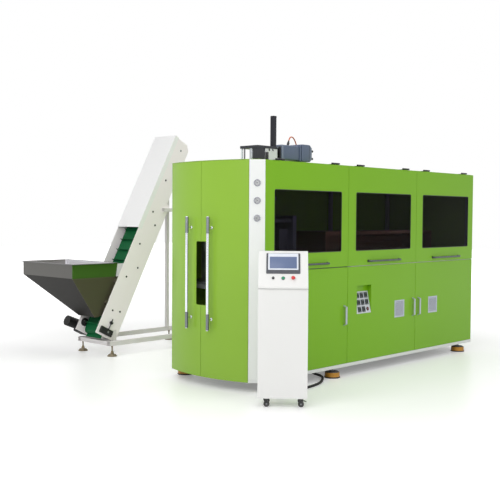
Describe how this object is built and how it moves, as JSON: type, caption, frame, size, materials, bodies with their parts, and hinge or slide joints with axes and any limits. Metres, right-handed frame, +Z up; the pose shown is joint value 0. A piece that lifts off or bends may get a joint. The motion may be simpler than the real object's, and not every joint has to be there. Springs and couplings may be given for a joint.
{
  "type": "blow moulding machine",
  "caption": "Long stretch blow moulding cabinet with lift doors and curved end doors, a preform elevator with hopper, a roof servo unit and a wheeled control pedestal.",
  "frame": {"origin": "on the floor under the middle of everything, the separate elevator and pedestal included", "axes": "+X along the cabinet's long side to its right end, +Y from the long front to the elevator behind, +Z up"},
  "size_m": [4.0249, 4.291, 2.52],
  "materials": {
    "green_paint": "gloss green panel paint",
    "white_paint": "white panel paint",
    "grey_paint": "light grey console paint",
    "dark_frame": "grey primer on the inner frame",
    "steel": "brushed stainless",
    "plated": "bright plated bar",
    "alu": "machined aluminium",
    "iron": "dark cast or blacked steel",
    "motor": "blue-grey motor paint",
    "glass": "dark tinted window",
    "black_plastic": "black plastic",
    "black_rubber": "black rubber",
    "foot_orange": "orange foot pad with a black ring and cap",
    "belt_green": "green conveyor belt",
    "screen": "dark bezel and glass",
    "button_green": "green button",
    "button_red": "red button",
    "cable_orange": "orange cable sheath",
    "conduit_black": "black corrugated conduit"
  },
  "bodies": {
    "machine": {"base_frame": "white_paint", "levelling_feet": "foot_orange", "cabinet_frame": "dark_frame", "machine_bed": "dark_frame", "roof_panel": "green_paint", "corner_columns": "white_paint", "pressure_gauges": "alu", "fixed_panels": "green_paint", "control_gear": "dark_frame", "lift_hinges": "iron", "stretch_frame": "iron", "rack_housing": "white_paint", "servo_motor": "motor", "motor_cable": "cable_orange", "fixed_mould": "alu", "heating_oven": "steel", "elevator_frame": "white_paint", "side_plates": "white_paint", "belt_cover": "white_paint", "cleated_belt": "belt_green", "take_up_blocks": "iron", "gear_motor": "motor", "hopper": "steel", "pedestal_body": "grey_paint", "console_head": "grey_paint", "touch_screen": "screen", "conduit": "conduit_black"},
    "lift_door_body_1": {"lift_door_1": "green_paint", "window_1": "glass", "lift_handle_1": "iron"},
    "lift_door_body_2": {"lift_door_2": "green_paint", "window_2": "glass", "lift_handle_2": "iron"},
    "lift_door_body_3": {"lift_door_3": "green_paint", "window_3": "glass", "lift_handle_3": "iron"},
    "lower_door_body_1": {"lower_door_1": "green_paint"},
    "lower_door_body_2": {"lower_door_2": "green_paint", "socket_plate": "black_plastic"},
    "lower_door_body_3": {"lower_door_3": "green_paint"},
    "end_door_front_body": {"end_door_front": "green_paint", "pull_handle_front": "plated"},
    "end_door_rear_body": {"end_door_rear": "green_paint", "pull_handle_rear": "plated"},
    "stretch_body": {"stretch_rack": "iron", "stretch_carriage": "steel"},
    "moving_mould_body": {"moving_mould": "alu"},
    "head_drum_body": {"head_drum": "plated"},
    "tail_drum_body": {"tail_drum": "plated"},
    "selector_body": {"selector_switch": "black_plastic"},
    "start_body": {"start_button": "button_green"},
    "stop_body": {"emergency_stop": "button_red"},
    "castor_fork_body_1": {"castor_fork_1": "plated"},
    "castor_wheel_body_1": {"castor_wheel_1": "black_rubber"},
    "castor_fork_body_2": {"castor_fork_2": "plated"},
    "castor_wheel_body_2": {"castor_wheel_2": "black_rubber"},
    "castor_fork_body_3": {"castor_fork_3": "plated"},
    "castor_wheel_body_3": {"castor_wheel_3": "black_rubber"},
    "castor_fork_body_4": {"castor_fork_4": "plated"},
    "castor_wheel_body_4": {"castor_wheel_4": "black_rubber"}
  },
  "joints": [
    {"name": "lift_door_1_hinge", "type": "hinge", "parent": "machine", "child": "lift_door_body_1", "pos_m": [-0.955, -1.4805, 2.058], "axis": [-1, 0, 0], "range_deg": [0, 80]},
    {"name": "lift_door_2_hinge", "type": "hinge", "parent": "machine", "child": "lift_door_body_2", "pos_m": [0.232, -1.4805, 2.058], "axis": [-1, 0, 0], "range_deg": [0, 80]},
    {"name": "lift_door_3_hinge", "type": "hinge", "parent": "machine", "child": "lift_door_body_3", "pos_m": [1.419, -1.4805, 2.058], "axis": [-1, 0, 0], "range_deg": [0, 80]},
    {"name": "lower_door_1_hinge", "type": "hinge", "parent": "machine", "child": "lower_door_body_1", "pos_m": [-1.5365, -1.4805, 0.59], "axis": [0, 0, -1], "range_deg": [0, 85]},
    {"name": "lower_door_2_hinge", "type": "hinge", "parent": "machine", "child": "lower_door_body_2", "pos_m": [-0.3495, -1.4805, 0.59], "axis": [0, 0, -1], "range_deg": [0, 100]},
    {"name": "lower_door_3_hinge", "type": "hinge", "parent": "machine", "child": "lower_door_body_3", "pos_m": [2.0005, -1.4805, 0.59], "axis": [0, 0, 1], "range_deg": [0, 100]},
    {"name": "end_door_front_hinge", "type": "hinge", "parent": "machine", "child": "end_door_front_body", "pos_m": [-1.64501, -1.3736, 1.07], "axis": [0, 0, 1], "range_deg": [0, 95]},
    {"name": "end_door_rear_hinge", "type": "hinge", "parent": "machine", "child": "end_door_rear_body", "pos_m": [-1.64501, -0.3854, 1.07], "axis": [0, 0, -1], "range_deg": [0, 95]},
    {"name": "stretch_slide", "type": "slide", "parent": "machine", "child": "stretch_body", "axis": [0, 0, -1], "range_m": [0, 0.24]},
    {"name": "mould_slide", "type": "slide", "parent": "machine", "child": "moving_mould_body", "axis": [1, 0, 0], "range_m": [0, 0.2595]},
    {"name": "head_drum_turn", "type": "hinge", "parent": "machine", "child": "head_drum_body", "pos_m": [-0.24673, 1.2915, 2.32077], "axis": [0, 1, 0], "continuous": true},
    {"name": "tail_drum_turn", "type": "hinge", "parent": "machine", "child": "tail_drum_body", "pos_m": [-1.3225, 1.2915, 0.263], "axis": [0, 1, 0], "continuous": true},
    {"name": "selector_turn", "type": "hinge", "parent": "machine", "child": "selector_body", "pos_m": [-1.8992, -1.91008, 1.05214], "axis": [-0.6233, -0.5612, 0.5446], "range_deg": [-45, 45]},
    {"name": "start_press", "type": "slide", "parent": "machine", "child": "start_body", "axis": [0.6233, 0.5612, -0.5446], "range_m": [0, 0.004], "stiffness_N_per_m": 400, "springref_m": -0.002},
    {"name": "stop_press", "type": "slide", "parent": "machine", "child": "stop_body", "axis": [0.6233, 0.5612, -0.5446], "range_m": [0, 0.006]},
    {"name": "castor_1_swivel", "type": "hinge", "parent": "machine", "child": "castor_fork_body_1", "pos_m": [-1.92337, -1.85178, 0.066], "axis": [0, 0, 1], "continuous": true},
    {"name": "castor_1_roll", "type": "hinge", "parent": "castor_fork_body_1", "child": "castor_wheel_body_1", "pos_m": [-1.91534, -1.8607, 0.025], "axis": [0.7431, 0.6691, 0], "continuous": true},
    {"name": "castor_2_swivel", "type": "hinge", "parent": "machine", "child": "castor_fork_body_2", "pos_m": [-1.73534, -2.0606, 0.066], "axis": [0, 0, 1], "continuous": true},
    {"name": "castor_2_roll", "type": "hinge", "parent": "castor_fork_body_2", "child": "castor_wheel_body_2", "pos_m": [-1.72731, -2.06952, 0.025], "axis": [0.7431, 0.6691, 0], "continuous": true},
    {"name": "castor_3_swivel", "type": "hinge", "parent": "machine", "child": "castor_fork_body_3", "pos_m": [-1.82602, -1.76412, 0.066], "axis": [0, 0, 1], "continuous": true},
    {"name": "castor_3_roll", "type": "hinge", "parent": "castor_fork_body_3", "child": "castor_wheel_body_3", "pos_m": [-1.81799, -1.77304, 0.025], "axis": [0.7431, 0.6691, 0], "continuous": true},
    {"name": "castor_4_swivel", "type": "hinge", "parent": "machine", "child": "castor_fork_body_4", "pos_m": [-1.63799, -1.97295, 0.066], "axis": [0, 0, 1], "continuous": true},
    {"name": "castor_4_roll", "type": "hinge", "parent": "castor_fork_body_4", "child": "castor_wheel_body_4", "pos_m": [-1.62996, -1.98187, 0.025], "axis": [0.7431, 0.6691, 0], "continuous": true}
  ],
  "couplings": [
    {"joint": "tail_drum_turn", "follows": "head_drum_turn", "ratio": 1}
  ]
}
